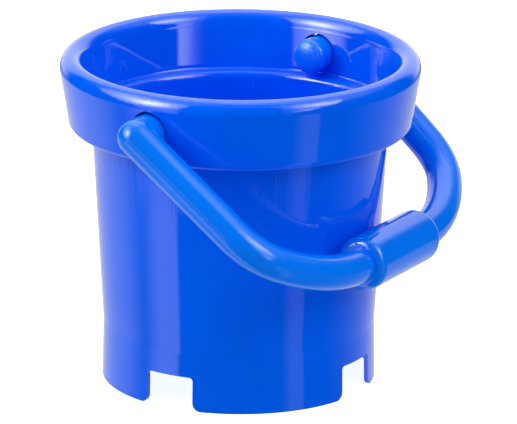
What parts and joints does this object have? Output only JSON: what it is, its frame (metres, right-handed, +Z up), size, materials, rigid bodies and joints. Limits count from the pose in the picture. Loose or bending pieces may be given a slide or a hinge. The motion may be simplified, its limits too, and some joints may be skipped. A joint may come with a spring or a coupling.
{
  "type": "sand bucket",
  "caption": "Toy sand bucket with a notched castle foot, a turned-down collar with an inner ledge, and a thick tubular bail with a fat grip that swings right over.",
  "frame": {"origin": "on the bucket's axis, in the plane of the crenellated foot that it stands on", "axes": "+Z up along the bucket's axis; X along the bail's pivot axis; the bail hangs towards -Y at rest"},
  "size_m": [0.207, 0.1786, 0.1565],
  "materials": {
    "bucket_plastic": "glossy injection-moulded blue polypropylene",
    "bail_plastic": "softer-gloss blow-moulded blue polyethylene",
    "grip_plastic": "glossy blue plastic sleeve",
    "cap_plastic": "satin blue plastic with light scuffs on the dome"
  },
  "bodies": {
    "bucket": {"bucket_shell": "bucket_plastic"},
    "bail": {"bail_tube": "bail_plastic", "grip_sleeve": "grip_plastic", "front_end_cap": "cap_plastic", "rear_end_cap": "cap_plastic"}
  },
  "joints": [
    {"name": "bail_swing", "type": "hinge", "parent": "bucket", "child": "bail", "pos_m": [0, 0, 0.1394], "axis": [-1, 0, 0], "range_deg": [-0.7, 259.1]}
  ]
}
